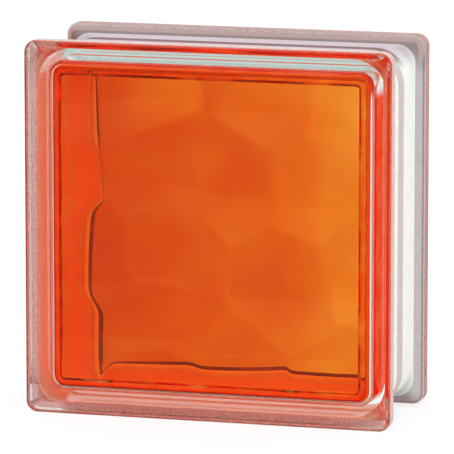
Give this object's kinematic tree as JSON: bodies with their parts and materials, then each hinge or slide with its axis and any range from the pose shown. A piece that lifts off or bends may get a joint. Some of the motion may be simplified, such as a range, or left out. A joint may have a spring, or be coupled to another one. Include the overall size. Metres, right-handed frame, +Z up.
{
  "type": "glass block",
  "caption": "Square hollow glass block with wavy inner faces, a clear rim and a mortar groove round its edges, tinted orange inside.",
  "frame": {"origin": "middle of the footprint, on the floor the block stands on", "axes": "+Z up, +Y from the front face to the back face, +X to the right seen from the front"},
  "size_m": [0.19, 0.08, 0.19],
  "materials": {
    "glass": "clear pressed glass with a transparent orange film on the cavity walls and a thin white bonding coat on the edges"
  },
  "bodies": {
    "root": {"glass_block": "glass"}
  },
  "joints": []
}
